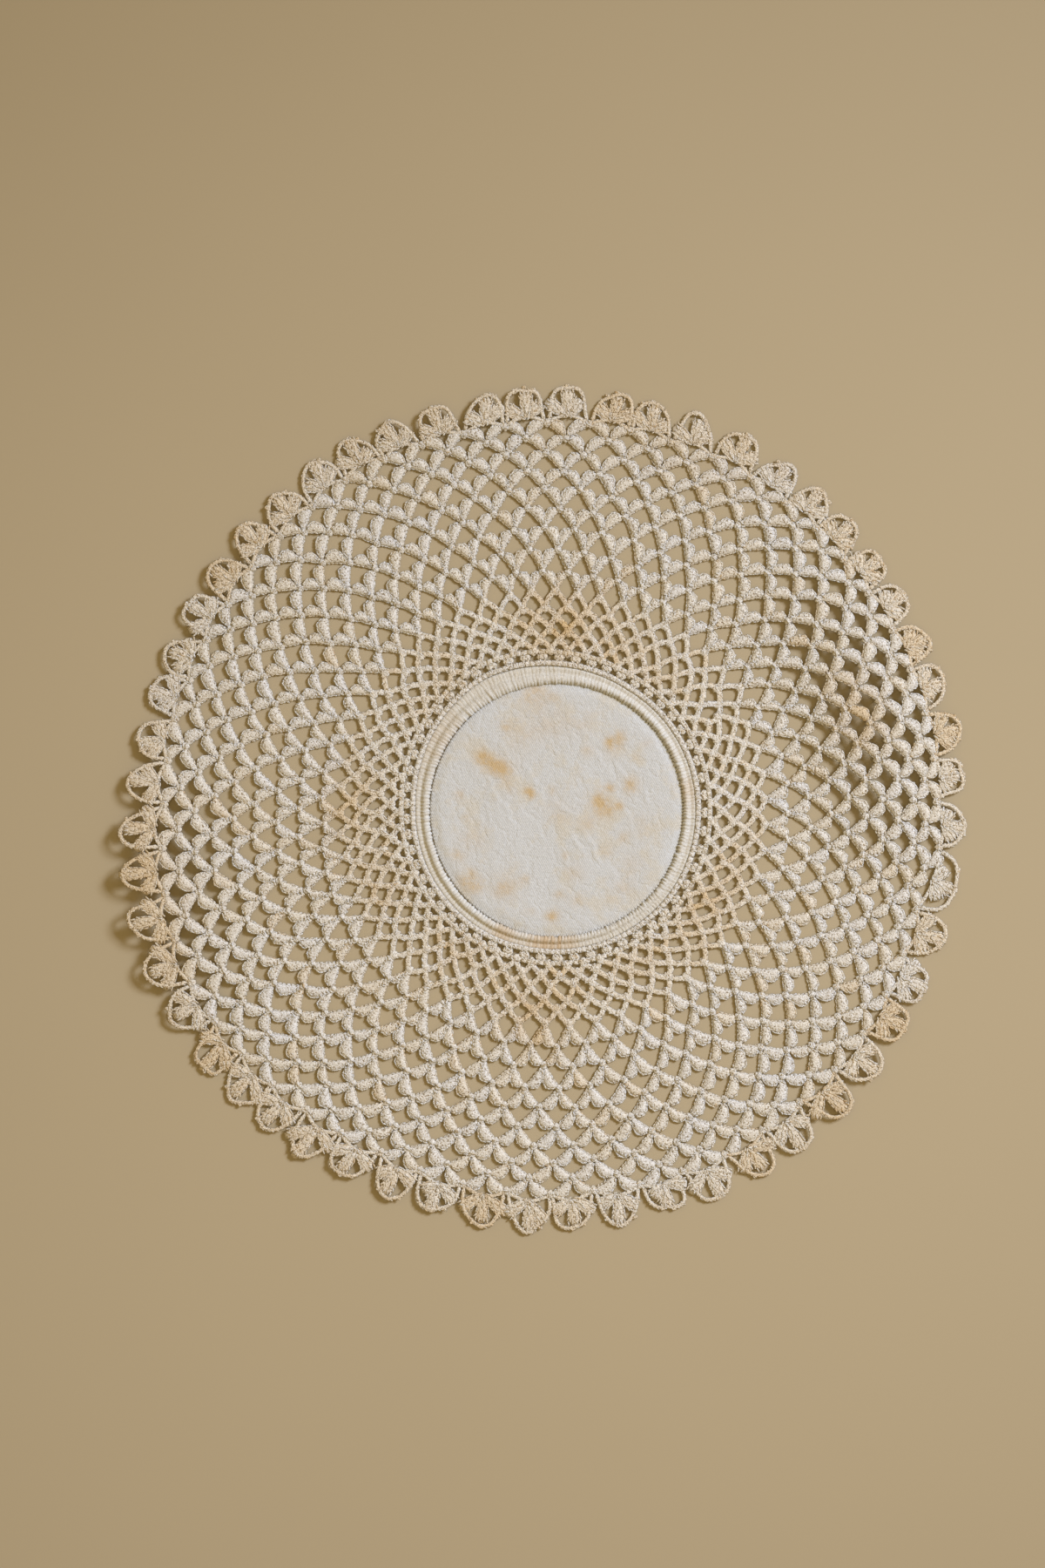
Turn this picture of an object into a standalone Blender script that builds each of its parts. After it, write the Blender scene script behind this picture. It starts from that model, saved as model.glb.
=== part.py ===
"""A round table doily: a cotton disc, a padded stitched ring round it, and crochet worked outwards.

Frame: metres, +Z up, with the origin under the centre of the disc, on the surface it lies on.
+Y is twelve o'clock and +X is three o'clock; clock angles run clockwise from +Y, in degrees.
Lengths below are in millimetres and become metres where a mesh is made.
"""

import math

import bmesh
import bpy
from mathutils.geometry import delaunay_2d_cdt

MM = 0.001
FULL_TURN = 360.0
PIECE_GAP = 0.3

# The disc of cloth and the cord ring that is stitched over its edge.
CLOTH_RADIUS = 41.3
CLOTH_THICKNESS = 1.0
CLOTH_SIDES = 60
CLOTH_BANDS = 4
CLOTH_WRINKLE = 0.18
CLOTH_WRINKLE_SLANT = (0.19, -0.11)
CLOTH_WRINKLE_CROSS = (0.07, 0.13)
RING_WIDTH = 6.2
RING_HEIGHT = 3.0
RING_SIDES = 96
RING_ARC_DEGREES = (12, 45, 75, 105, 135, 168)
RING_ARC_BASE = 0.84
RING_FOOT_WIDTH = 3.4
RING_UNEVEN = 0.25
RING_UNEVEN_WAVES = 3
RING_INNER = CLOTH_RADIUS + PIECE_GAP
RING_OUTER = RING_INNER + RING_WIDTH

# The crochet. One round of net adds the height of a slanting arm that spans half a loop, so
# rounds get lower as they get wider. Each row below is a run of rounds with one length of arm.
LACE_INNER = RING_OUTER + PIECE_GAP
FIRST_ROUND_RADIUS = 51.6
LOOPS_PER_ROUND = 55.5
ROUND_RUNS = (
    # rounds, arm_mm
    (1, 4.0),
    (1, 4.2),
    (1, 4.9),
    (1, 5.7),
    (1, 6.6),
    (13, 8.5),
)
FINE_ROUNDS = 5
NET_ROUNDS = 16.0
ROUND_STEPS = 20

# The solid net repeats the real one at a wider, even pitch.
GAP_ROWS = 9
GAPS_PER_ROW = 33
ROUNDS_PER_ROW = NET_ROUNDS / GAP_ROWS
FINE_STRAND = 2.5
LEAF_STRAND = 5.0
LEAF_BULGE = 0.22
LEAST_OPEN = 0.5

# The edging: a bar over the last gaps, then one scallop to each loop.
SCALLOPS = 55
FIRST_SCALLOP_CLOCK = 101.0
EDGE_BAR_RISE = 3.8
VALLEY_RISE = 3.4
SCALLOP_RISE = 10.6
SCALLOP_LEAN = 0.7
SCALLOP_LEAN_STEP = 2.4
SCALLOP_UNEVEN = 0.6
SCALLOP_UNEVEN_STEP = 1.7
SCALLOP_OUTLINE = (
    # share_of_half_pitch, share_of_rise
    (-0.64, 0.48),
    (-0.54, 0.82),
    (0.00, 1.00),
    (0.54, 0.82),
    (0.64, 0.48),
)

# Thickness of the crochet at its knots and ridges, and at the rims of its gaps.
RIDGE_THICKNESS = 1.9
RIM_THICKNESS = 1.2

# How the flat plate is triangulated: only inside its loops, joining points this close.
INSIDE_LOOPS = 1
SAME_POINT = 1e-6
BORE_SIDES = 99

# How the net lies: each row is one clock section, with how far the inner, middle and outer net
# is pushed out from its even radius, and how far the first and last rounds slip clockwise.
SECTION_RADII = (52.0, 74.0, 98.0, 130.0)
SECTIONS = (
    # clock_deg, inner_out_mm, middle_out_mm, outer_out_mm, first_slip_deg, last_slip_deg
    (0, -3.0, -2.0, -0.4, -4.0, 0.0),
    (30, -5.2, -4.6, -2.6, -4.8, -1.2),
    (60, -2.2, -2.4, -4.8, -3.4, -1.8),
    (90, 0.0, -0.4, -5.2, -0.8, -0.6),
    (120, -0.8, -0.8, -4.2, 2.0, 1.0),
    (150, 0.0, 0.0, -1.8, 3.0, 3.0),
    (180, -0.3, 0.3, -1.2, 4.6, 4.1),
    (210, 0.0, 0.9, 0.0, 4.8, 4.4),
    (240, 0.6, 3.2, 5.4, 1.6, 3.6),
    (270, -2.0, -0.8, 2.6, -2.6, 2.8),
    (300, -2.3, -1.3, 0.0, -3.4, 1.8),
    (330, -1.9, -1.0, -0.2, -3.4, 0.8),
)
INNER_COLUMN, MIDDLE_COLUMN, OUTER_COLUMN, FIRST_SLIP, LAST_SLIP = range(1, 6)

# Where the crochet stands up from the surface, as soft swells; elsewhere it lies flat.
SWELLS = (
    # clock_deg, half_width_deg, radius_mm, half_depth_mm, height_mm
    (250, 44, 150, 62, 6.5),
    (72, 42, 110, 34, 5.0),
    (205, 22, 148, 38, 2.4),
    (302, 24, 148, 44, 2.4),
    (345, 20, 148, 38, 1.6),
    (132, 24, 148, 38, 2.0),
)

COLOURS = {
    "centre_cloth": (0.80, 0.80, 0.78),
    "ring": (0.74, 0.68, 0.56),
    "lace": (0.76, 0.70, 0.58),
}
COTTON_ROUGHNESS = 0.9


def clear_scene():
    for existing in list(bpy.data.objects):
        bpy.data.objects.remove(existing, do_unlink=True)


def cotton(name):
    material = bpy.data.materials.new(name)
    material.use_nodes = True
    shader = material.node_tree.nodes["Principled BSDF"]
    shader.inputs["Base Color"].default_value = (*COLOURS[name], 1.0)
    shader.inputs["Roughness"].default_value = COTTON_ROUGHNESS
    shader.inputs["Metallic"].default_value = 0.0
    return material


def add_object(name, work):
    """Turns a bmesh into a named object with its own material, with its faces pointing out."""
    bmesh.ops.recalc_face_normals(work, faces=work.faces)
    mesh = bpy.data.meshes.new(name)
    work.to_mesh(mesh)
    work.free()
    mesh.materials.append(cotton(name))
    made = bpy.data.objects.new(name, mesh)
    bpy.context.scene.collection.objects.link(made)
    return made


def polar(clock, radius):
    """The flat point at a clock angle in degrees and a radius."""
    turn = math.radians(clock)
    return radius * math.sin(turn), radius * math.cos(turn)


def around(clock, column):
    """A smooth curve through one column of SECTIONS, closed round the clock (Catmull-Rom)."""
    count = len(SECTIONS)
    place = (clock % FULL_TURN) * count / FULL_TURN
    first = int(place)
    share = place - first
    before, start, end, after = (SECTIONS[(first + k) % count][column] for k in (-1, 0, 1, 2))
    bend = 2 * before - 5 * start + 4 * end - after + share * (3 * (start - end) + after - before)
    return start + 0.5 * share * (end - before + share * bend)


def blend(place, places, values):
    """Straight steps between values, held level beyond the first and the last place."""
    if place <= places[0]:
        return values[0]
    for low, high, start, end in zip(places, places[1:], values, values[1:]):
        if place < high:
            return start + (end - start) * (place - low) / (high - low)
    return values[-1]


def swell_height(clock, radius):
    """How far the underside stands off the surface: cosine-squared mounds, added together."""
    total = 0.0
    for peak_clock, half_width, peak_radius, half_depth, height in SWELLS:
        turned = abs((clock - peak_clock + 180) % FULL_TURN - 180) / half_width
        away = abs(radius - peak_radius) / half_depth
        if turned < 1 and away < 1:
            total += height * (math.cos(turned * math.pi / 2) * math.cos(away * math.pi / 2)) ** 2
    return total


def lay(clock, radius):
    """Moves a point of the even net to where it lies: (x, y, height of the underside) in mm."""
    out = blend(
        radius,
        SECTION_RADII,
        (0.0, around(clock, INNER_COLUMN), around(clock, MIDDLE_COLUMN), around(clock, OUTER_COLUMN)),
    )
    ends = (SECTION_RADII[0], SECTION_RADII[-1])
    slip = blend(radius, ends, (around(clock, FIRST_SLIP), around(clock, LAST_SLIP)))
    inside = min(1.0, max(0.0, (radius - LACE_INNER) / (ends[0] - LACE_INNER)))
    lain_clock = clock + slip * inside
    lain_radius = radius + out
    x, y = polar(lain_clock, lain_radius)
    return x, y, swell_height(lain_clock, lain_radius)


def round_radius(rounds):
    """The even radius of the net after some rounds, from the arm lengths of ROUND_RUNS."""
    radius = FIRST_ROUND_RADIUS
    if rounds < 1:
        return LACE_INNER + (FIRST_ROUND_RADIUS - LACE_INNER) * max(rounds, 0.0)
    left = rounds - 1
    for run, arm in ROUND_RUNS:
        for _ in range(run * ROUND_STEPS):
            step = min(1 / ROUND_STEPS, left)
            half_loop = math.pi * radius / LOOPS_PER_ROUND
            radius += step * math.sqrt(arm * arm - half_loop * half_loop)
            left -= step
    return radius


def ring_loops(work, profile):
    """Vertex loops of the ring: the profile's (radius, height) points, swept round the centre."""
    loops = []
    for side in range(RING_SIDES):
        clock = FULL_TURN * side / RING_SIDES
        uneven = RING_UNEVEN * math.sin(math.radians(RING_UNEVEN_WAVES * clock))
        swell = 1 + uneven / RING_HEIGHT
        points = [(*polar(clock, radius), height * swell) for radius, height in profile]
        loops.append([work.verts.new((x * MM, y * MM, z * MM)) for x, y, z in points])
    return loops


def make_ring():
    """The padded ring: a cord under close stitches, rounded above and flat where it rests."""
    middle = (RING_INNER + RING_OUTER) / 2
    half = RING_WIDTH / 2
    foot = RING_FOOT_WIDTH / 2
    rise = RING_HEIGHT - RING_ARC_BASE
    arc = [math.radians(angle) for angle in RING_ARC_DEGREES]
    crown = [(middle + half * math.cos(a), RING_ARC_BASE + rise * math.sin(a)) for a in arc]
    profile = [(middle + foot, 0.0), *crown, (middle - foot, 0.0)]
    work = bmesh.new()
    loops = ring_loops(work, profile)
    for loop, following in zip(loops, loops[1:] + loops[:1]):
        for k in range(len(profile)):
            after = (k + 1) % len(profile)
            work.faces.new((loop[k], following[k], following[after], loop[after]))
    ring = add_object("ring", work)
    ring.data.shade_smooth()
    return ring


def cloth_wrinkle(x, y):
    """Height of the disc's low wrinkles: two slanting waves crossed, dying out at its edge."""
    slant = math.sin(CLOTH_WRINKLE_SLANT[0] * x + CLOTH_WRINKLE_SLANT[1] * y)
    cross = math.cos(CLOTH_WRINKLE_CROSS[0] * x + CLOTH_WRINKLE_CROSS[1] * y)
    return CLOTH_WRINKLE * slant * cross * (1 - math.hypot(x, y) / CLOTH_RADIUS)


def make_cloth():
    """The cotton disc: flat below, with a few low wrinkles above, and its edge turned square."""
    work = bmesh.new()
    top = []
    for band in range(1, CLOTH_BANDS + 1):
        row = []
        for side in range(CLOTH_SIDES):
            x, y = polar(FULL_TURN * side / CLOTH_SIDES, CLOTH_RADIUS * band / CLOTH_BANDS)
            height = CLOTH_THICKNESS + cloth_wrinkle(x, y)
            row.append(work.verts.new((x * MM, y * MM, height * MM)))
        top.append(row)
    centre = work.verts.new((0, 0, CLOTH_THICKNESS * MM))
    for side in range(CLOTH_SIDES):
        after = (side + 1) % CLOTH_SIDES
        work.faces.new((centre, top[0][side], top[0][after]))
        for inner, outer in zip(top, top[1:]):
            work.faces.new((inner[side], outer[side], outer[after], inner[after]))
    foot = [work.verts.new((corner.co.x, corner.co.y, 0.0)) for corner in top[-1]]
    for side in range(CLOTH_SIDES):
        after = (side + 1) % CLOTH_SIDES
        work.faces.new((top[-1][side], foot[side], foot[after], top[-1][after]))
    work.faces.new(foot)
    return add_object("centre_cloth", work)


def row_radii():
    """Even radii of the rows of knots, from the foundation round to the last round of the net."""
    return [round_radius(row * ROUNDS_PER_ROW) for row in range(GAP_ROWS + 1)]


def knot_clock(row, column):
    """Knots of each row stand half a pitch round from those of the row before."""
    return (column + 0.5 * (row % 2)) * FULL_TURN / GAPS_PER_ROW


def gap_outline(row, column, radii):
    """One gap between four knots: pointed above and below, with leaves bulging into its foot."""
    centre_clock = knot_clock(row, column) + 0.5 * FULL_TURN / GAPS_PER_ROW
    radius = radii[row]
    half_width = math.pi * radius / GAPS_PER_ROW
    below = radius - radii[row - 1]
    above = radii[row + 1] - radius if row < GAP_ROWS else EDGE_BAR_RISE
    strand = FINE_STRAND if row * ROUNDS_PER_ROW < FINE_ROUNDS else LEAF_STRAND
    mean_height = (above + below) / 2
    to_side = half_width * mean_height / math.hypot(half_width, mean_height)
    share = max(LEAST_OPEN, 1 - strand / 2 / to_side)
    foot = 0.5 * (1 - LEAF_BULGE)
    corners = (
        (0.0, above),
        (half_width, 0.0),
        (half_width * foot, -below * foot),
        (0.0, -below),
        (-half_width * foot, -below * foot),
        (-half_width, 0.0),
    )
    degrees_per_mm = FULL_TURN / (2 * math.pi * radius)
    return [(centre_clock + x * share * degrees_per_mm, radius + y * share) for x, y in corners]


def scallop_outline(number, bar_radius):
    """One scallop of the edging as (clock, radius): up from its valley, over its tip and down."""
    pitch = FULL_TURN / SCALLOPS
    clock = FIRST_SCALLOP_CLOCK + number * pitch
    rise = SCALLOP_RISE + SCALLOP_UNEVEN * math.sin(SCALLOP_UNEVEN_STEP * number)
    lean = math.degrees(SCALLOP_LEAN * math.sin(SCALLOP_LEAN_STEP * number) / bar_radius)
    points = [(clock - pitch / 2, bar_radius + VALLEY_RISE)]
    for across, up in SCALLOP_OUTLINE:
        points.append((clock + across * pitch / 2 + lean * up, bar_radius + rise * up))
    return points


def make_lace():
    """The crochet as one plate: foundation band, net with its gaps cut through, and scallops.

    The plate is drawn flat as an outline, its openings and the ridges between its knots, and
    triangulated. Every point is then moved to where it lies, and the plate is made thick.
    """
    radii = row_radii()
    points = []
    thickness = []

    def add_points(new_points, height):
        first = len(points)
        points.extend(new_points)
        thickness.extend([height] * len(new_points))
        return list(range(first, len(points)))

    bore = [(FULL_TURN * side / BORE_SIDES, LACE_INNER) for side in range(BORE_SIDES)]
    edge = [p for number in range(SCALLOPS) for p in scallop_outline(number, radii[-1])]
    edge_ids = add_points(edge, RIM_THICKNESS)
    openings = [add_points(bore, RIM_THICKNESS)]
    for row in range(1, GAP_ROWS + 1):
        for column in range(GAPS_PER_ROW):
            openings.append(add_points(gap_outline(row, column, radii), RIM_THICKNESS))
    knots = []
    for row in range(1, GAP_ROWS + 1):
        clocks = [knot_clock(row, column) for column in range(GAPS_PER_ROW)]
        knots.append(add_points([(clock, radii[row]) for clock in clocks], RIDGE_THICKNESS))
    ridges = []
    for row, (lower, upper) in enumerate(zip(knots, knots[1:]), start=1):
        for column in range(GAPS_PER_ROW):
            step = 1 if row % 2 else -1
            ridges.append((lower[column], upper[column]))
            ridges.append((lower[column], upper[(column + step) % GAPS_PER_ROW]))

    flat = [polar(clock, radius) for clock, radius in points]
    loops = [list(reversed(loop)) for loop in (edge_ids, *openings)]
    flat_mesh = delaunay_2d_cdt(flat, ridges, loops, INSIDE_LOOPS, SAME_POINT, True)
    _, _, triangles, sources, _, owners = flat_mesh

    work = bmesh.new()
    rise = work.verts.layers.float.new("rise")
    corners = []
    for source in sources:
        clock, radius = points[source[0]]
        x, y, height = lay(clock, radius)
        corner = work.verts.new((x * MM, y * MM, height * MM))
        corner[rise] = thickness[source[0]] * MM
        corners.append(corner)
    for triangle, owner in zip(triangles, owners):
        in_outline_only = list(owner) == [0]
        if in_outline_only:
            work.faces.new([corners[k] for k in triangle])
    loose = [corner for corner in work.verts if not corner.link_faces]
    bmesh.ops.delete(work, geom=loose, context="VERTS")
    raised = bmesh.ops.extrude_face_region(work, geom=list(work.faces), use_keep_orig=True)
    for item in raised["geom"]:
        if isinstance(item, bmesh.types.BMVert):
            item.co.z += item[rise]
    return add_object("lace", work)


clear_scene()
make_cloth()
make_ring()
make_lace()
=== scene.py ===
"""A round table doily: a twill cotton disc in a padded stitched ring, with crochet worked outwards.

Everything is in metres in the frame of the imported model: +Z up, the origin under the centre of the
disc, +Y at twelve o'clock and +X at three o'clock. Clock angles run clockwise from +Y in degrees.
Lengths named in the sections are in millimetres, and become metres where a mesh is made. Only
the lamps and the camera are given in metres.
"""

import math

import bpy
import numpy as np
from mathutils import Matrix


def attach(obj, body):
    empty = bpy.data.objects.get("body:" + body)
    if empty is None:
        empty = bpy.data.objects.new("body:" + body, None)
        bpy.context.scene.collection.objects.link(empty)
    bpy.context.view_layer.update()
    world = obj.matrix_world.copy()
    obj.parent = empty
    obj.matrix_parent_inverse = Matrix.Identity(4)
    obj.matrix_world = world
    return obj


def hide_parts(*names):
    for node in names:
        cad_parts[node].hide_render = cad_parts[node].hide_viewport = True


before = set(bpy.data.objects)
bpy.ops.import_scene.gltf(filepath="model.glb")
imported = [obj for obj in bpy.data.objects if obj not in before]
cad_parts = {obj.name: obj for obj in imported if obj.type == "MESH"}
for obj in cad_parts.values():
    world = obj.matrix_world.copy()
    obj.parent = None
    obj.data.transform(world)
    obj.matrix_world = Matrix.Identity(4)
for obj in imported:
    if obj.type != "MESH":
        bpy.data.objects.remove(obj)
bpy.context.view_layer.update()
draw = np.random.default_rng(1927)

# --- The cloth disc -------------------------------------------------------------------------
# A disc of bleached cotton twill, cut a little larger than it shows and turned under the ring.
# It lies flat with faint creases from folding, and has tan age stains.

MM = 0.001
FULL_TURN = 360.0
CLOTH_RADIUS = 42.2
CLOTH_BANDS = 66
CLOTH_SIDES = 260
CLOTH_TOP = 1.05
CLOTH_THICKNESS = 0.55
CLOTH_DIP = 0.5
CLOTH_DIP_START = 38.5
CLOTH_SWELL = 0.12
CLOTH_SWELL_SLANT = (0.19, -0.11)
CLOTH_SWELL_CROSS = (0.07, 0.13)
CREASES_FADE = (36, 42)
CREASES = (
    # x_mm, y_mm, turn_deg, length_mm, width_mm, height_mm
    (-27.0, 13.0, 120, 22, 0.9, 0.10),
    (-22.0, 8.0, 114, 24, 0.8, 0.12),
    (-17.5, 20.0, 124, 18, 0.8, 0.10),
    (-16.0, -1.0, 118, 24, 0.8, 0.11),
    (-9.0, 12.0, 128, 18, 0.9, 0.08),
    (-6.0, -7.0, 116, 16, 0.8, 0.09),
    (1.5, 1.0, 150, 16, 0.8, 0.12),
    (6.0, -10.0, 122, 20, 0.9, 0.10),
    (12.0, -13.0, 112, 22, 0.8, 0.11),
    (14.0, 17.0, 128, 22, 0.9, 0.11),
    (21.0, 13.0, 134, 18, 0.8, 0.10),
    (9.0, 26.0, 140, 16, 0.9, 0.08),
    (24.0, -4.0, 108, 20, 0.9, 0.10),
    (29.0, 5.0, 118, 16, 0.8, 0.08),
    (19.0, -22.0, 122, 18, 0.9, 0.09),
    (-12.0, -22.0, 64, 20, 1.0, 0.10),
    (-20.0, -16.0, 84, 16, 0.8, 0.10),
    (3.0, -27.0, 160, 16, 0.9, 0.08),
    (-29.0, -6.0, 98, 18, 0.9, 0.08),
    (-4.0, 27.0, 100, 16, 0.9, 0.07),
    (-13.0, 31.0, 112, 14, 0.8, 0.07),
    (3.0, -17.0, 96, 14, 0.8, 0.07),
)
STAINS = (
    # x_mm, y_mm, radius_mm, strength
    (-8.1, 38.2, 4.0, 0.62),
    (-1.4, 37.0, 1.8, 0.52),
    (-16.9, 28.0, 2.0, 0.46),
    (-24.4, 16.9, 3.2, 0.86),
    (-21.4, 14.6, 2.8, 0.58),
    (-17.6, 13.4, 3.6, 0.62),
    (-15.6, 7.2, 2.2, 0.36),
    (-9.3, 5.7, 1.8, 1.00),
    (-1.8, 6.8, 1.6, 0.34),
    (13.6, 3.0, 3.6, 0.74),
    (16.4, 0.4, 3.0, 0.70),
    (17.6, 7.2, 1.9, 0.64),
    (20.6, 1.2, 1.4, 1.00),
    (24.0, 8.1, 2.8, 0.66),
    (19.0, 20.6, 2.8, 0.58),
    (20.8, 24.6, 1.9, 0.54),
    (17.0, 22.8, 1.8, 0.54),
    (10.0, 19.4, 2.2, 0.34),
    (26.4, 17.2, 1.8, 0.30),
    (30.0, 22.0, 1.8, 0.30),
    (10.0, -4.4, 2.6, 0.32),
    (21.8, -9.0, 1.9, 0.40),
    (16.2, -13.0, 2.2, 0.30),
    (2.9, -15.0, 1.4, 0.36),
    (5.4, -20.6, 3.2, 0.30),
    (0.9, -28.0, 1.9, 0.42),
    (-1.6, -35.2, 2.2, 0.78),
    (-9.2, -33.6, 1.9, 0.30),
    (-10.8, -23.0, 1.6, 0.48),
    (-17.4, -25.6, 4.2, 0.52),
    (-29.4, -22.8, 3.2, 0.92),
    (-26.8, -25.0, 2.2, 0.60),
    (-33.4, -15.0, 2.2, 0.50),
    (-28.4, -10.0, 4.2, 0.26),
    (-32.6, 5.0, 1.5, 0.74),
    (-31.0, -2.8, 1.5, 0.42),
    (21.8, -26.2, 2.8, 0.34),
    (18.4, -29.2, 2.0, 0.30),
    (7.0, -30.2, 2.3, 0.34),
    (-0.2, -0.8, 4.4, 0.22),
    (-2.0, 29.6, 6.4, 0.24),
    (8.0, 29.0, 4.4, 0.24),
    (-12.0, 24.6, 6.0, 0.22),
    (28.0, -5.0, 4.4, 0.20),
    (25.0, -19.0, 4.4, 0.20),
)
TWILL_TURN = 62
TWILL_PITCH = 0.60
NEEDLE_HOLES = 242
# They lie in a thin band of the disc, in mm from its middle, and carry painted shade that is deepest on the
# right, where the ring shades the cloth.
NEEDLE_HOLE_BAND = (40.9, 41.5)
NEEDLE_HOLE_SHADE_CLOCK = 100
CLOTH_WHITE = (0.590, 0.615, 0.640)
CLOTH_IVORY = (0.565, 0.580, 0.580)
CLOTH_FOXED = (0.590, 0.535, 0.415)
CLOTH_STAINED = (0.540, 0.415, 0.245)
# The dark of the needle holes, partly painted shade.
NEEDLE_HOLE_SHADE_COLOUR = (0.14, 0.12, 0.10)


def soft_step(value, low, high):
    """0 below low, 1 above high, and the smooth cubic 3t^2 - 2t^3 between them."""
    share = np.clip((value - low) / (high - low), 0.0, 1.0)
    return share * share * (3 - 2 * share)


def crease_height(x, y):
    """Each crease is a ridge with a groove at its foot: height times exp(-(v / width)^2) minus
    0.7 exp(-((v + 1.5 width) / width)^2), where v is the distance across it less a slight bow,
    and it fades to its ends as cos^2 along it."""
    total = np.zeros_like(x)
    for middle_x, middle_y, turn, length, width, height in CREASES:
        cos = math.cos(math.radians(turn))
        sin = math.sin(math.radians(turn))
        along = (x - middle_x) * cos + (y - middle_y) * sin
        across = (y - middle_y) * cos - (x - middle_x) * sin
        bow = across - 0.014 * along**2 + 0.35 * np.sin(0.9 * along)
        fade = np.cos(np.clip(along / length, -0.5, 0.5) * math.pi) ** 2
        groove = 0.7 * np.exp(-(((bow + 1.5 * width) / width) ** 2))
        total += height * fade * (np.exp(-((bow / width) ** 2)) - groove)
    return total


def stain_depth(x, y):
    """Each stain is exp(-(distance / radius)^2) times its strength, and the stains are added."""
    total = np.zeros_like(x)
    for middle_x, middle_y, radius, strength in STAINS:
        away = np.hypot(x - middle_x, y - middle_y) / radius
        total += strength * np.exp(-(away**2))
    return np.clip(total, 0.0, 1.0)


def add_piece(name, points, face_sets, material, smooth=True):
    """Puts points in millimetres, and sets of faces with equal corners, into a mesh object."""
    mesh = bpy.data.meshes.new(name)
    corners = np.concatenate([faces.ravel() for faces in face_sets]).astype(np.int32)
    sizes = np.concatenate([np.full(len(faces), faces.shape[1]) for faces in face_sets])
    starts = np.concatenate([[0], np.cumsum(sizes)[:-1]]).astype(np.int32)
    mesh.vertices.add(len(points))
    mesh.vertices.foreach_set("co", (points * MM).astype(np.float32).ravel())
    mesh.loops.add(len(corners))
    mesh.loops.foreach_set("vertex_index", corners)
    mesh.polygons.add(len(sizes))
    mesh.polygons.foreach_set("loop_start", starts)
    mesh.polygons.foreach_set("use_smooth", np.full(len(sizes), smooth))
    mesh.update(calc_edges=True)
    mesh.validate()
    mesh.materials.append(material)
    piece = bpy.data.objects.new(name, mesh)
    bpy.context.scene.collection.objects.link(piece)
    return piece


def add_numbers(piece, name, values):
    """Keeps one number, or one vector of three, for each point of a piece."""
    vector = values.ndim == 2
    layer = piece.data.attributes.new(name, "FLOAT_VECTOR" if vector else "FLOAT", "POINT")
    layer.data.foreach_set("vector" if vector else "value", values.astype(np.float32).ravel())


def turned_grid(rows, sides):
    """Quads of rows of points that close on themselves, with each row after the one before."""
    row, side = np.meshgrid(np.arange(rows - 1), np.arange(sides), indexing="ij")
    here, after = row * sides + side, row * sides + (side + 1) % sides
    return np.stack((here, after, after + sides, here + sides), axis=-1).reshape(-1, 4)


def cloth_disc():
    """Top z = swell + creases - dip at the rim over x = r sin a, y = r cos a; the back is flat.

    One closed surface: rows of points go from the centre of the top out to the rim, round it, and
    back in to the centre of the underside, and a point closes each end.
    """
    top = np.linspace(0.02, 1.0, CLOTH_BANDS) ** 0.9 * CLOTH_RADIUS
    back = np.linspace(1.0, 0.05, 7) * CLOTH_RADIUS
    radius = np.concatenate([top, back])[:, None]
    turn = np.linspace(0, 2 * math.pi, CLOTH_SIDES, endpoint=False)[None, :]
    x = radius * np.sin(turn)
    y = radius * np.cos(turn)
    slant = CLOTH_SWELL_SLANT[0] * x + CLOTH_SWELL_SLANT[1] * y
    cross = CLOTH_SWELL_CROSS[0] * x + CLOTH_SWELL_CROSS[1] * y
    swell = CLOTH_SWELL * np.sin(slant) * np.cos(cross)
    dip = CLOTH_DIP * soft_step(radius, CLOTH_DIP_START, CLOTH_RADIUS)
    z = CLOTH_TOP + (swell + crease_height(x, y)) * (1 - soft_step(radius, *CREASES_FADE)) - dip
    z[len(top):] = CLOTH_TOP - CLOTH_DIP - CLOTH_THICKNESS
    points = np.stack([x, y, z], axis=-1).reshape(-1, 3)
    ends = np.array([(0, 0, z[0].mean()), (0, 0, z[-1].mean())])
    last = len(points)
    foot = last - CLOTH_SIDES
    side = np.arange(CLOTH_SIDES)
    after = (side + 1) % CLOTH_SIDES
    fan = np.stack([np.full_like(side, last), after, side], axis=-1)
    under = np.stack([np.full_like(side, last + 1), foot + side, foot + after], axis=-1)
    faces = [turned_grid(len(radius), CLOTH_SIDES), np.concatenate([fan, under])]
    return np.concatenate([points, ends]), faces


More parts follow.
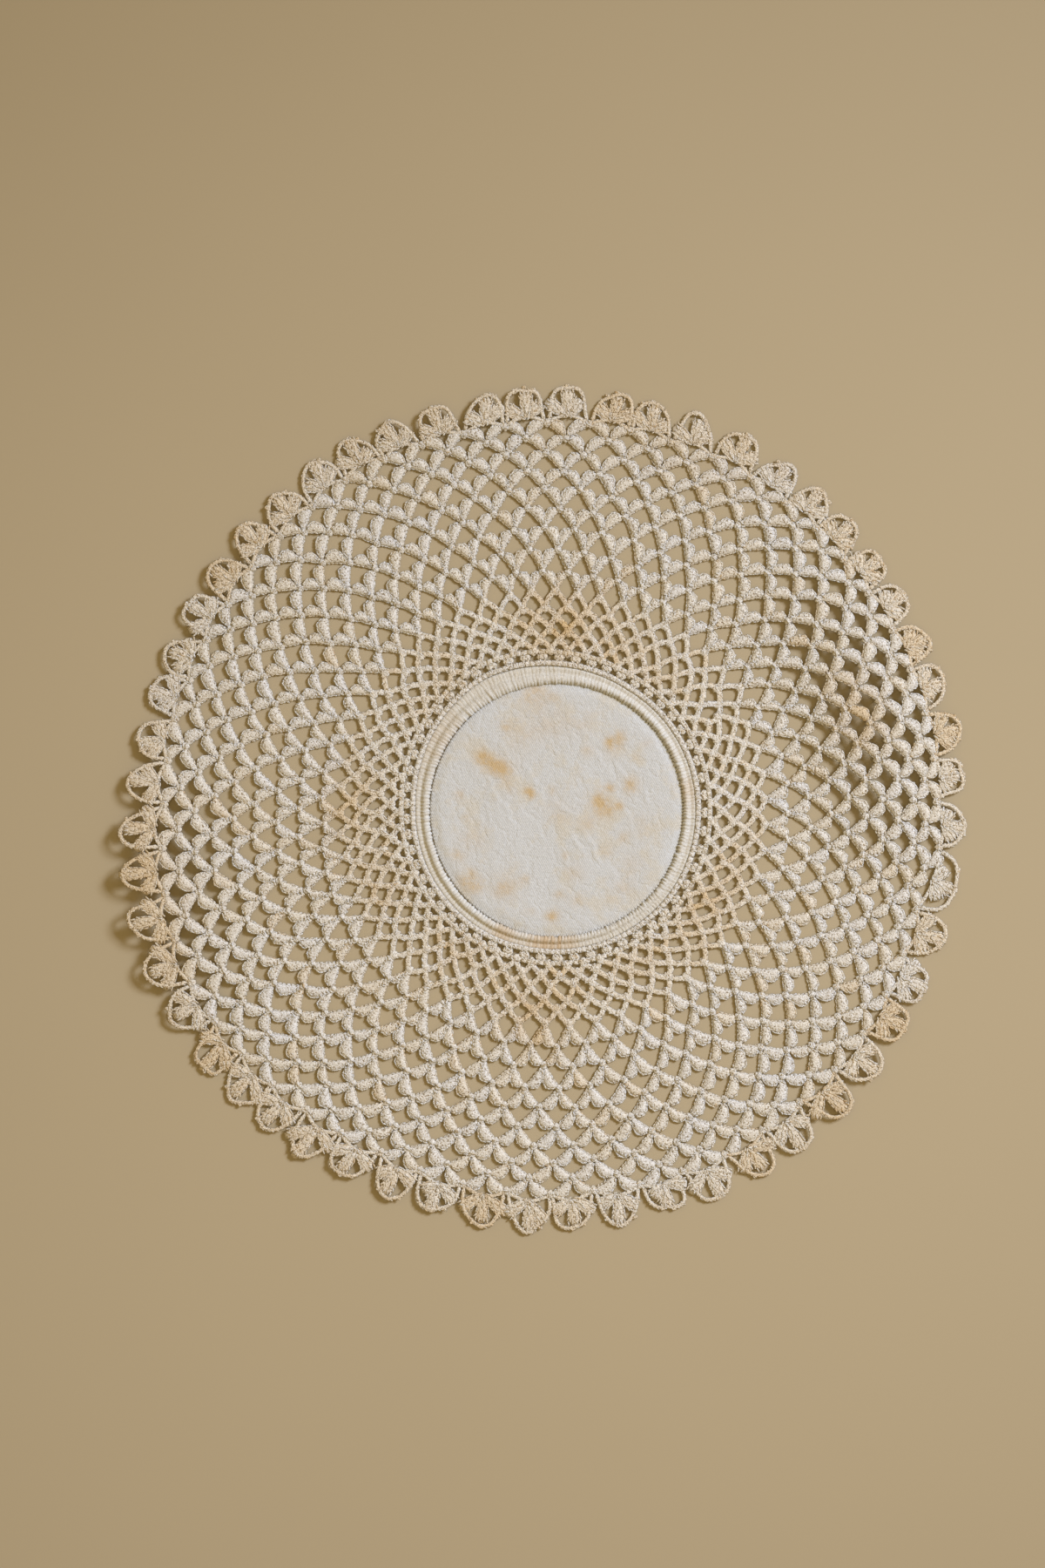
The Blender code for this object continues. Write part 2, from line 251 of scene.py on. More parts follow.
class Finish:
    """A material as it is wired, with a method for each kind of node in it. A value is a socket,
    a number or a colour."""

    def __init__(self, name):
        self.material = bpy.data.materials.new(name)
        self.material.use_nodes = True
        self.tree = self.material.node_tree
        self.place = self.node("ShaderNodeTexCoord").outputs["Object"]

    def node(self, kind, inputs=None, **settings):
        """A new node with its settings, and then its inputs by name or number."""
        node = self.tree.nodes.new(kind)
        for key, value in settings.items():
            setattr(node, key, value)
        self.put(node, inputs or {})
        return node

    def put(self, node, inputs):
        for key, value in inputs.items():
            socket = node.inputs[key]
            if isinstance(value, bpy.types.NodeSocket):
                self.tree.links.new(value, socket)
            else:
                socket.default_value = (*value, 1.0) if socket.type == "RGBA" else value

    def noise(self, scale, detail=3.0, roughness=0.6):
        """A noise whose features are 1 / scale metres across."""
        inputs = {"Vector": self.place, "Scale": scale, "Detail": detail, "Roughness": roughness}
        return self.node("ShaderNodeTexNoise", inputs).outputs["Fac"]

    def ramp(self, source, *stops):
        """Colours between stops of (place, colour), where a single number is a grey."""
        node = self.node("ShaderNodeValToRGB", {"Fac": source})
        elements = node.color_ramp.elements
        while len(elements) < len(stops):
            elements.new(0.5)
        for element, (place, colour) in zip(elements, stops):
            element.position = place
            element.color = (*(colour if isinstance(colour, tuple) else (colour,) * 3), 1.0)
        return node.outputs["Color"]

    def mix(self, share, first, second, kind="MIX"):
        """Two colours mixed by a share."""
        inputs = {"Factor": share, "A": first, "B": second}
        node = self.node("ShaderNodeMix", inputs, data_type="RGBA", blend_type=kind)
        return node.outputs["Result"]

    def shaded(self, colour, *shades):
        """A colour multiplied by each shade."""
        for shade in shades:
            colour = self.mix(1.0, colour, shade, "MULTIPLY")
        return colour

    def sums(self, operation, *values):
        """One Math node."""
        return self.node("ShaderNodeMath", dict(enumerate(values)), operation=operation).outputs["Value"]

    def number(self, name, output="Fac"):
        """What the piece keeps under this name."""
        return self.node("ShaderNodeAttribute", attribute_name=name).outputs[output]

    def waves_round(self, count):
        """A sine wave with this many crests round the middle of the piece."""
        parts = self.node("ShaderNodeSeparateXYZ", {"Vector": self.place}).outputs
        turn = self.sums("ARCTAN2", parts["X"], parts["Y"])
        return self.sums("SINE", self.sums("MULTIPLY", turn, float(count)))

    def done(self, colour, roughness, specular, sheen=0.0, relief=None, depth=0.0, strength=1.0):
        """Wires the main shader, with its constants on its own sockets. A relief from 0 to 1 is a
        bump of depth metres."""
        shader = self.tree.nodes["Principled BSDF"]
        constants = {"Roughness": roughness, "Specular IOR Level": specular, "Sheen Weight": sheen}
        self.put(shader, {"Base Color": colour, **constants})
        if relief is not None:
            inputs = {"Height": relief, "Distance": depth, "Strength": strength}
            self.put(shader, {"Normal": self.node("ShaderNodeBump", inputs).outputs["Normal"]})
        return self.material


def twill_cotton():
    """White twill: fine slanting ribs broken by slubs, with stains in the thread itself."""
    twill = Finish("white_twill")
    mottle = twill.ramp(twill.noise(85, 5.0, 0.65), (0.50, 0.0), (0.62, 0.42))
    uneven = twill.ramp(twill.noise(240, 5.0, 0.7), (0.34, 0.25), (0.62, 1.45))
    stain = twill.sums("MULTIPLY", twill.number("stain"), uneven)
    colour = twill.mix(twill.noise(46), CLOTH_WHITE, CLOTH_IVORY)
    colour = twill.mix(mottle, colour, CLOTH_FOXED)
    colour = twill.mix(stain, colour, CLOTH_STAINED)
    turned = {"Vector": twill.place, "Rotation": (0, 0, math.radians(TWILL_TURN))}
    bands = {
        "Vector": twill.node("ShaderNodeMapping", turned).outputs["Vector"],
        "Scale": 2 * math.pi / (20 * TWILL_PITCH * MM),
        "Distortion": 3.4,
        "Detail": 2.0,
        "Detail Scale": 1.3,
    }
    waves = twill.node("ShaderNodeTexWave", bands, wave_type="BANDS", bands_direction="Y")
    ribs = waves.outputs["Fac"]
    rib_shade = twill.ramp(ribs, (0.0, 0.985), (0.6, 1.005))
    speck_shade = twill.ramp(twill.noise(1900, 2.0), (0.3, 0.86), (0.7, 1.07))
    colour = twill.shaded(colour, rib_shade, speck_shade)
    # Needle holes: a dark dot for each stitch of the ring, partly real holes and partly painted shade,
    # deepest on the right where the ring shades the cloth.
    dots = twill.ramp(twill.waves_round(NEEDLE_HOLES), (0.15, 0.0), (0.8, 1.0))
    hole = twill.sums("MULTIPLY", twill.number("needle_holes_and_shade"), dots)
    colour = twill.mix(hole, colour, NEEDLE_HOLE_SHADE_COLOUR)
    # Small wrinkles from washing: fine grooves where a broad noise crosses its middle.
    wander = twill.sums("ABSOLUTE", twill.sums("SUBTRACT", twill.noise(130, 3.0, 0.55), 0.5))
    wrinkles = twill.sums("MINIMUM", twill.sums("MULTIPLY", wander, 16.0), 1.0)
    weave = twill.sums("MULTIPLY_ADD", ribs, 0.22, twill.noise(620, 4.0))
    relief = twill.sums("MULTIPLY_ADD", wrinkles, 0.55, weave)
    bump = {"relief": relief, "depth": 0.00018, "strength": 0.9}
    return twill.done(colour, roughness=0.9, specular=0.2, sheen=0.05, **bump)


cloth_points, cloth_faces = cloth_disc()
cloth = add_piece("cloth_disc", cloth_points, cloth_faces, twill_cotton())
cloth_x, cloth_y = cloth_points[:, 0], cloth_points[:, 1]
add_numbers(cloth, "stain", stain_depth(cloth_x, cloth_y))
# Painted shade at the needle holes, weighted toward the right where the ring shades the cloth, and only
# within their band.
needle_hole_shade_side = np.cos(np.arctan2(cloth_x, cloth_y) - math.radians(NEEDLE_HOLE_SHADE_CLOCK))
needle_hole_shade_side = 0.35 + 0.65 * soft_step(needle_hole_shade_side, -0.1, 0.7)
add_numbers(cloth, "needle_holes_and_shade", needle_hole_shade_side * soft_step(np.hypot(cloth_x, cloth_y), *NEEDLE_HOLE_BAND))
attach(cloth, "root")
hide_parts("centre_cloth")

# --- The padded ring ------------------------------------------------------------------------
# A round cotton cord laid on the cloth's turned edge and worked over with close radial stitches
# of cream thread. Each stitch is a ridge over the cord; its inner ends bite the cloth unevenly.

RING_STITCHES = 242
RING_STEPS = 6
RING_INNER = 41.9
RING_OUTER = 46.3
RING_STITCH_RISE = 0.06
# How far each stitch strays: its reach in mm, its rise as a share, and its lean in degrees.
RING_STRAYS = (0.13, 0.04, 0.14)
RING_BITE = 0.30
# On the left the ring's inner edge stands further out.
RING_LEFT_CLOCK = 262
RING_LEFT_SLACK = 0.7
# Across the ring: the cord, then a lower band of stitches beyond it.
RING_PROFILE = (
    # share of the way across, height_mm
    (0.00, 0.50), (0.04, 1.05), (0.11, 1.60), (0.20, 1.95), (0.31, 2.05), (0.42, 1.85),
    (0.51, 1.40), (0.58, 1.05), (0.66, 1.10), (0.78, 1.32), (0.90, 1.20), (0.96, 0.85),
    (1.00, 0.35),
)
# The ring is wider at the upper left, where the cord lies flatter.
RING_SPREAD = (
    # clock_deg, out_mm
    (0, 1.6), (30, 0.1), (60, 0.0), (90, -0.2), (120, 0.2), (150, 0.0), (180, 0.1), (210, 0.9),
    (240, 1.1), (270, 1.1), (300, 2.4), (330, 3.6),
)
RING_STAINS = (
    # clock_deg, half_width_deg, strength
    (183, 10, 1.0),
    (204, 6, 0.6),
    (82, 7, 0.35),
    (300, 14, 0.25),
)
RING_WHITE = (0.665, 0.675, 0.665)
RING_CREAM = (0.62, 0.605, 0.56)
RING_OUTER_CREAM = (0.63, 0.595, 0.51)
RING_TAN = (0.56, 0.42, 0.26)
# Painted shade for the grooves between the stitches.
RING_GROOVE_SHADE = (0.78, 0.73, 0.64)


def section(table, clock, column):
    """Straight steps between the clock sections of a table, closed round the clock."""
    table = np.array(table)
    return np.interp(clock, table[:, 0], table[:, column], period=FULL_TURN)


def padded_ring():
    """RING_PROFILE carried round: r = inner + share (outer - inner), z = height + ridge.

    The ridge of each stitch is RING_STITCH_RISE sin(pi t)^0.8, t from 0 to 1 over the stitch, and
    each stitch has its own draw of reach, rise and lean. The underside closes flat.
    """
    count = RING_STITCHES * RING_STEPS
    turn = np.linspace(0, 2 * math.pi, count, endpoint=False)[None, :]
    stitch = (np.arange(count) // RING_STEPS)[None, :]
    reach, rise, lean = (draw.normal(0, stray, RING_STITCHES)[stitch] for stray in RING_STRAYS)
    place = ((np.arange(count) % RING_STEPS) / RING_STEPS)[None, :]
    ridge = np.sin(place * math.pi) ** 0.8
    share, height = (column[:, None] for column in np.array(RING_PROFILE).T)
    left_side = soft_step(np.cos(turn - math.radians(RING_LEFT_CLOCK)), 0.0, 0.9)
    inner = RING_INNER + RING_LEFT_SLACK * left_side - (RING_BITE + reach) * ridge
    outer = RING_OUTER + section(RING_SPREAD, np.degrees(turn), 1)
    radius = inner + (outer - inner) * share
    z = height * (1 + rise * ridge) + RING_STITCH_RISE * ridge
    share = share + 0 * turn
    foot_radius = np.concatenate([radius[-1:] - 0.6, radius[:1] + 0.8])
    radius = np.concatenate([radius, foot_radius])
    z = np.concatenate([z, 0 * z[:2] + 0.06])
    share = np.concatenate([share, share[-1:], share[:1]])
    leaning = turn + np.radians(lean) * 4 * (share - 0.5)
    points = np.stack([radius * np.sin(leaning), radius * np.cos(leaning), z], axis=-1)
    side = np.arange(count)
    after = (side + 1) % count
    last = (len(z) - 1) * count
    closing = np.stack([last + side, last + after, after, side], axis=-1)
    faces = np.concatenate([turned_grid(len(z), count), closing])
    tone = np.broadcast_to(draw.random(RING_STITCHES)[stitch], z.shape)
    # The ridge share, from which the thread's material paints shade into the grooves between stitches.
    groove = np.broadcast_to(ridge, z.shape)
    return points.reshape(-1, 3), faces, {"tone": tone, "groove": groove, "outside": share}


def ring_cotton():
    """Cream thread: each stitch has its own tone, painted shade darkens the grooves, and four places are
    tan.
    """
    thread = Finish("ring_thread")
    tone = thread.number("tone")
    colour = thread.mix(tone, RING_WHITE, RING_CREAM)
    outside = thread.sums("MULTIPLY", thread.number("outside"), 0.5)
    colour = thread.mix(outside, colour, RING_OUTER_CREAM)
    uneven = thread.ramp(tone, (0.0, 0.6), (0.8, 1.0))
    colour = thread.mix(thread.sums("MULTIPLY", thread.number("age"), uneven), colour, RING_TAN)
    fibres = thread.noise(1800)
    strands = thread.waves_round(3 * RING_STITCHES)
    # Painted shade in the grooves between stitches and between the strands of each stitch.
    groove_shade = thread.ramp(thread.number("groove"), (0.0, RING_GROOVE_SHADE), (0.55, 1.0))
    strand_shade = thread.ramp(strands, (0.0, 0.97), (0.7, 1.01))
    fibre_shade = thread.ramp(fibres, (0.3, 0.80), (0.7, 1.10))
    colour = thread.shaded(colour, groove_shade, strand_shade, fibre_shade)
    bump = {"relief": fibres, "depth": 0.00016, "strength": 0.8}
    return thread.done(colour, roughness=0.8, specular=0.25, sheen=0.06, **bump)


ring_points, ring_faces, ring_numbers = padded_ring()
ring = add_piece("padded_ring", ring_points, [ring_faces], ring_cotton())
ring_clock = np.degrees(np.arctan2(ring_points[:, 0], ring_points[:, 1])) % FULL_TURN
for key, values in ring_numbers.items():
    add_numbers(ring, key, values.ravel())
ring_age = np.zeros_like(ring_clock)
for clock, half_width, strength in RING_STAINS:
    ring_age += strength * np.exp(-(((ring_clock - clock) / half_width) ** 2))
add_numbers(ring, "age", np.clip(ring_age, 0, 1))
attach(ring, "root")
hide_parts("ring")

# --- The fine net ---------------------------------------------------------------------------
# Crochet cotton worked straight from the ring: a round of plain stitches, a round of paired
# posts with a chain over them, two closed rounds of chain loops, and then the spiral begins.

FOUNDATION_STITCHES = 168
FOUNDATION_RADIUS = 46.7
POST_FOOT = 47.5
POST_SPREAD = 0.84
POST_GRAINS = (
    # height_mm, turn_deg
    (0.2, 8), (1.5, -12), (2.9, 12),
)
CHAIN_ROUND = 50.7
FIRST_ROUND_RADIUS = 51.9
CLOSED_LOOPS = 56
LOOPS_PER_ROUND = 55.5
SPIRAL_START_CLOCK = 63.4
CLOSED_ROUNDS = (
    # first_knot, clock of the first knot, radius_mm
    (-57, 53.7, 51.2),
    (-1, 56.9, 54.6),
    (55, 60.2, 58.0),
)
ROUND_RUNS = (
    # rounds, arm_mm
    (2, 4.6),
    (1, 4.95),
    (1, 5.05),
    (1, 5.7),
    (13, 8.6),
)
ROUND_STEPS = 20
FINE_RUNS = (
    # first_loop, loop after the last, stitches in an arm, half_width_mm
    (-1, 111, 2, 1.02),
    (111, 222, 3, 1.02),
    (222, 278, 3, 0.96),
)
FINE_BOW = 0.55
# The middle of the threads' tones, from white at 0 to tan at 1, and how far they stray from it.
FINE_TONE = (0.40, 0.12)
LAST_LOOP = 839
KNOT_SETTLE = 1.4
KNOT_STRAY = 0.28
# A grain is a turn of thread that shows: its length, width and height in mm.
CHAIN_GRAIN = (1.60, 0.60, 0.40)
FOUNDATION_GRAIN = (1.7, 0.66, 0.5)
POST_GRAIN = (1.6, 0.72, 0.54)
CROSS_GRAIN = (1.5, 0.7, 0.6)
# The thread behind the grains is a cord that narrows to CORE_TAPER at its ends. Its section goes
# across it as a share of its half width, and up it as a share of its height.
CORE_TAPER = 0.55
CORE_SECTION = ((-0.55, 1.0), (-1.0, 0.45), (-0.6, 0.0), (0.6, 0.0), (1.0, 0.45), (0.55, 1.0))
# A knot, as shares of its reach: a pad whose half width changes along it, and the grains on it.
KNOT_PAD = (
    # along, half_width
    (-1.5, 0.45), (-0.7, 1.15), (0.5, 1.2), (1.3, 0.4),
)
KNOT_GRAINS = (
    # across, along, turn_deg
    (-0.55, -0.3, 18),
    (0.0, -0.1, 0),
    (0.55, -0.3, -18),
    (0.05, 0.75, 80),
)
# How far each grain strays: its turn, its size as a share, its place and height in mm, its tone.
TURN_STRAY = math.radians(8)
SIZE_STRAY = 0.08
PLACE_STRAY = 0.06
LIFT_STRAY = 0.05
TONE_STRAY = 0.15
# Heights of the grains' middles and of the cores' underside where the net lies on the table,
# and the lowest that a grain reaches.
NET_LIFT = 0.92
BODY_LOW = 0.54
LOWEST_THREAD = 0.05
# The net hangs from the cord of the ring, so it stands a little higher beside it.
RING_LIFT = 0.5

# How the net lies when it is spread by hand: each row is one clock section, with how far the net
# is pushed out, and how far its rounds slip clockwise, at each of LAY_RADII.
LAY_RADII = (60.0, 68.0, 78.0, 92.0, 128.0)
LAY = (
    # clock_deg, out_60, out_68, out_78, out_92, out_128, slip_60, slip_68, slip_78, slip_92, slip_128
    (0, -1.2, -1.5, -2.8, -2.4, -1.2, -1.1, -1.9, -2.5, -1.6, -0.2),
    (30, -2.4, -2.4, -5.4, -5.5, -2.0, -2.6, -3.5, -4.5, -3.2, -1.0),
    (58, -2.6, -1.9, -4.2, -4.2, -4.0, -3.0, -4.2, -4.2, -3.5, -1.8),
    (64, -0.5, -0.6, -1.6, -2.4, -4.0, -2.5, -3.8, -4.0, -3.5, -1.8),
    (90, -0.5, -0.5, 0.0, -0.4, -4.4, -0.6, -2.2, -2.4, -2.2, -0.4),
    (120, -0.6, -0.4, -0.6, -0.9, -1.2, 2.0, 0.6, 0.4, 0.5, 0.8),
    (150, -0.6, -0.5, 0.0, -0.4, -0.1, 3.1, 1.6, 1.2, 1.2, 3.3),
    (180, -0.5, -0.7, -0.4, -0.4, 0.1, 4.5, 3.4, 3.2, 3.1, 4.3),
    (210, 0.5, 0.6, 0.1, 0.3, 1.1, 5.0, 4.0, 3.8, 4.1, 4.5),
    (240, 0.0, 0.3, 0.2, 2.6, 6.4, 3.5, 2.6, 2.1, 2.4, 2.9),
    (270, 0.0, 0.2, -2.2, -1.2, 2.2, -0.2, -1.5, -1.6, -0.6, 3.1),
    (300, 0.1, -0.3, -1.8, -2.1, 0.4, -1.5, -1.6, -1.2, -0.3, 2.0),
    (330, 0.5, 0.3, -1.4, -1.5, 0.4, -1.2, -1.2, -1.7, -0.9, 1.0),
)
# How far the closed rounds slip clockwise at the ring and at their outer edge.
CLOSED_LAY = (
    # clock_deg, slip_48, slip_58
    (0, 1.6, 1.7),
    (30, 0.3, 0.2),
    (60, 0.1, -0.3),
    (90, 2.2, 1.1),
    (120, 6.3, 4.0),
    (150, 7.4, 5.4),
    (180, 7.6, 6.4),
    (210, 7.6, 6.8),
    (240, 5.8, 5.1),
    (270, 3.4, 3.0),
    (300, 2.6, 1.7),
    (330, 2.1, 1.7),
)
# Where the crochet stands up from the table, as soft swells.
SWELLS = (
    # clock_deg, half_width_deg, radius_mm, half_depth_mm, height_mm
    (260, 30, 150, 56, 5.0),
    (72, 40, 110, 32, 3.6),
    (208, 22, 148, 38, 0.9),
    (302, 24, 148, 44, 1.7),
    (345, 20, 148, 38, 1.6),
    (132, 24, 148, 38, 1.5),
)
# Where the thread has aged to tan.
AGE_PATCHES = (
    # clock_deg, half_width_deg, radius_mm, half_depth_mm, strength
    (2, 22, 62, 20, 0.60),
    (30, 24, 58, 12, 0.30),
    (72, 16, 104, 16, 0.34),
    (98, 16, 62, 12, 0.22),
    (122, 22, 60, 13, 0.55),
    (150, 22, 60, 12, 0.30),
    (186, 20, 66, 20, 0.50),
    (214, 22, 58, 12, 0.28),
    (246, 18, 64, 14, 0.30),
    (272, 20, 68, 17, 0.42),
    (262, 20, 132, 18, 0.22),
    (316, 22, 56, 10, 0.22),
    (20, 26, 128, 18, 0.16),
)
LACE_TONES = (
    (0.0, (0.665, 0.675, 0.690)),
    (0.40, (0.675, 0.652, 0.595)),
    (0.75, (0.640, 0.550, 0.410)),
    (1.0, (0.565, 0.430, 0.265)),
)
LACE_TAN = (0.580, 0.420, 0.205)
# Painted shade between the pale flecks of painted highlight.
LACE_SHADE = (0.74, 0.70, 0.63)
# Painted shade for the pinholes between stitches, and how far apart they lie.
PINHOLE_SHADE_COLOUR = (0.40, 0.32, 0.22)
PINHOLE_SPACING = 0.62
TWIST_PITCH = 0.55


def polar(clock, radius):
    """x = radius sin(clock), y = radius cos(clock)."""
    turn = np.radians(clock)
    return np.stack([radius * np.sin(turn), radius * np.cos(turn)], axis=-1)


def lay(clock, radius):
    """Moves points of the even spiral to where they lie: (clock, radius)."""
    place = np.interp(radius, LAY_RADII, np.arange(len(LAY_RADII)))
    low = np.minimum(place.astype(int), len(LAY_RADII) - 2)
    moved = []
    for first in (6, 1):
        table = np.stack([section(LAY, clock, first + k) for k in range(len(LAY_RADII))])
        start = np.take_along_axis(table, low[None], 0)[0]
        end = np.take_along_axis(table, low[None] + 1, 0)[0]
        moved.append(start + (end - start) * (place - low))
    return clock + moved[0], radius + moved[1]


def closed_lay(clock, radius):
    """The same for the closed rounds, which follow the ring's outer edge."""
    share = np.clip((radius - 48) / 10, 0, 1)
    slip = section(CLOSED_LAY, clock, 1) * (1 - share) + section(CLOSED_LAY, clock, 2) * share
    return clock + slip, radius + section(RING_SPREAD, clock, 1)


def mounds(table, points):
    """Adds a mound for each row: its height times cos^2(pi t / 2) cos^2(pi d / 2), with t and d
    the shares of the half width and of the half depth that a point is away from the peak."""
    clock = np.degrees(np.arctan2(points[..., 0], points[..., 1]))
    radius = np.hypot(points[..., 0], points[..., 1])
    total = np.zeros_like(radius)
    for peak_clock, half_width, peak_radius, half_depth, height in table:
        turned = np.abs((clock - peak_clock + 180) % FULL_TURN - 180) / half_width
        away = np.abs(radius - peak_radius) / half_depth
        mound = np.cos(np.minimum(turned, 1) * math.pi / 2) * np.cos(np.minimum(away, 1) * math.pi / 2)
        total += height * mound**2
    return total


def table_height(points):
    """How far the net is raised off the table: its swells, and RING_LIFT beside the ring."""
    radius = np.hypot(points[..., 0], points[..., 1])
    return mounds(SWELLS, points) + RING_LIFT * (1 - soft_step(radius, 50, 76))


def round_table():
    """Rounds and the even radius after each: an arm spans half a loop and rises by the rest of
    its length, sqrt(arm^2 - (pi r / loops)^2)."""
    rounds = [1.0]
    radii = [FIRST_ROUND_RADIUS]
    for run, arm in ROUND_RUNS:
        for _ in range(run * ROUND_STEPS):
            half_loop = math.pi * radii[-1] / LOOPS_PER_ROUND
            radii.append(radii[-1] + math.sqrt(arm * arm - half_loop * half_loop) / ROUND_STEPS)
            rounds.append(rounds[-1] + 1 / ROUND_STEPS)
    return np.array(rounds), np.array(radii)


def knot(loop):
    """Where the top of a loop is knotted. Loops of the spiral are numbered along it from 111, and
    those of the three closed rounds before it, of 56 each, from -57, -1 and 55."""
    rounds = 1 + loop / LOOPS_PER_ROUND
    clock = SPIRAL_START_CLOCK + FULL_TURN * (rounds - 1)
    settle = KNOT_SETTLE * np.clip((rounds - 4) / 2, 0, 1)
    place = polar(*lay(clock, np.interp(rounds + 1, ROUND_COUNTS, ROUND_RADII) - settle))
    for first, first_clock, radius in CLOSED_ROUNDS:
        clock = first_clock + (loop - first) * FULL_TURN / CLOSED_LOOPS
        closed = polar(*closed_lay(clock, np.full_like(clock, radius)))
        inside = (loop >= first) & (loop < first + CLOSED_LOOPS)
        place = np.where(inside[..., None], closed, place)
    return place


ROUND_COUNTS, ROUND_RADII = round_table()
FIRST_LOOP = CLOSED_ROUNDS[0][0]
KNOTS = knot(np.arange(FIRST_LOOP, LAST_LOOP + 1.0))
KNOTS = KNOTS + draw.normal(0, KNOT_STRAY, KNOTS.shape)


def knots_at(loops):
    return KNOTS[loops - FIRST_LOOP]


def feet_of(loops):
    """The two knots of the round before that a loop springs from; a closed round joins up."""
    right = loops - CLOSED_LOOPS + 1
    for first, _, _ in CLOSED_ROUNDS[:2]:
        right = np.where(right == first + CLOSED_LOOPS, first, right)
    return knots_at(loops - CLOSED_LOOPS), knots_at(right)


class Crochet:
    """Thread gathered for one piece: grains, which are the turns of thread that show, and cores,
    which are the thread behind them."""

    def __init__(self):
        self.parts = []
        self.count = 0

    def keep(self, points, faces, strand, tone, pit):
        """Keeps points (..., 3), faces that count from the first of them, and their numbers."""
        faces = faces.reshape(-1, 3) + self.count
        numbers = (strand.reshape(-1, 3), tone.ravel(), np.full(tone.size, pit))
        self.parts.append((points.reshape(-1, 3), faces, *numbers))
        self.count += tone.size

    def add(self, middle, way, size, lift, tone):
        """Grains at middle (n, 2) along way (n, 2): 10 points and 16 faces each, x = +-L/2 at the
        tips and +-L/4 at two rings, which are ellipses of its width and height. Each grain's
        turn, size, place and tone vary a little, as handwork does."""
        count = len(middle)
        turn = np.arctan2(way[:, 1], way[:, 0]) + draw.normal(0, TURN_STRAY, count)
        climb = draw.normal(0, TURN_STRAY, count)
        size = np.array(size) * (1 + draw.normal(0, SIZE_STRAY, (count, 3)))
        middle = middle + draw.normal(0, PLACE_STRAY, (count, 2))
        height = table_height(middle) + lift + draw.normal(0, LIFT_STRAY, count)
        shade = np.clip(tone + draw.normal(0, TONE_STRAY, count), 0, 1)
        along = np.column_stack([np.cos(turn) * np.cos(climb), np.sin(turn) * np.cos(climb), np.sin(climb)])
        side = np.column_stack([-np.sin(turn), np.cos(turn), np.zeros(count)])
        up = np.cross(along, side)
        rings = [(x, y, z) for x in (-0.25, 0.25) for y, z in ((0, 0.5), (0.5, 0), (0, -0.5), (-0.5, 0))]
        local = np.array([(-0.5, 0, 0), *rings, (0.5, 0, 0)]) * size[:, None, :]
        points = np.column_stack([middle, height])[:, None, :]
        for k, axis in enumerate((along, side, up)):
            points = points + local[..., k : k + 1] * axis[:, None, :]
        points[..., 2] = np.maximum(points[..., 2], LOWEST_THREAD)
        faces = []
        for k in range(4):
            after = (k + 1) % 4
            faces += [(0, 1 + after, 1 + k), (1 + k, 1 + after, 5 + after)]
            faces += [(1 + k, 5 + after, 5 + k), (5 + k, 5 + after, 9)]
        faces = np.array(faces) + 10 * np.arange(count)[:, None, None]
        self.keep(points, faces, local, np.repeat(shade, 10), 0.0)

    def add_cores(self, stations, tone):
        """Closed bodies from stations (n, m, c, 3): c corners round each of m stations."""
        count, steps, corners = stations.shape[:3]
        stations[..., 2] += table_height(stations[..., :2])
        faces = []
        for step in range(steps - 1):
            for k in range(corners):
                first, after = corners * step + k, corners * step + (k + 1) % corners
                faces += [(first, after, after + corners), (first, after + corners, first + corners)]
        last = corners * (steps - 1)
        for k in range(1, corners - 1):
            faces += [(0, k + 1, k), (last, last + k, last + k + 1)]
        faces = np.array(faces) + corners * steps * np.arange(count)[:, None, None]
        tone = np.broadcast_to(np.reshape(tone, (-1, 1)), (count, corners * steps))
        # Cores are marked as pits, where the thread's material paints shade as dark pinholes.
        self.keep(stations, faces, stations * 0.0, tone, 1.0)

    def finish(self, name):
        """Makes one piece of the thread, and says what it is."""
        points, faces, strand, tone, pit = (np.concatenate(part) for part in zip(*self.parts))
        piece = add_piece(name, points, [faces], LACE_COTTON)
        for key, values in (("tone", tone), ("pit", pit), ("age", age_of(points)), ("strand", strand)):
            add_numbers(piece, key, values)
        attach(piece, "root")
        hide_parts("lace")


def lengths(vectors):
    """The length of each vector, as a column."""
    return np.linalg.norm(vectors, axis=1, keepdims=True)


def left_of(ways):
    """Each way turned a quarter to its left."""
    return np.stack([-ways[:, 1], ways[:, 0]], axis=-1)


def across_of(direction, toward):
    """The unit normals of directions in the plane, on the side that points toward."""
    normal = left_of(direction)
    return normal * np.where(np.sum(normal * toward, axis=1, keepdims=True) < 0, -1.0, 1.0)


def core_strip(crochet, middles, ways, half_widths, high, tone):
    """A core along lists of middles (n, 2) with ways (n, 2): a cord with CORE_SECTION, from
    BODY_LOW to high, that tapers at its ends where it has more than two places."""
    between = [1.0] * (len(middles) - 2)
    tapers = [CORE_TAPER, *between, CORE_TAPER] if between else [1.0, 1.0]
    widths = np.broadcast_to(half_widths, len(middles))
    rings = []
    for middle, way, half_width, taper in zip(middles, ways, widths, tapers):
        side = left_of(way) * half_width * taper / lengths(way)
        ring = []
        for x, z in CORE_SECTION:
            level = np.full((len(middle), 1), BODY_LOW + (high - BODY_LOW) * z * taper)
            ring.append(np.hstack([middle + side * x, level]))
        rings.append(np.stack(ring, axis=1))
    crochet.add_cores(np.stack(rings, axis=1), tone)


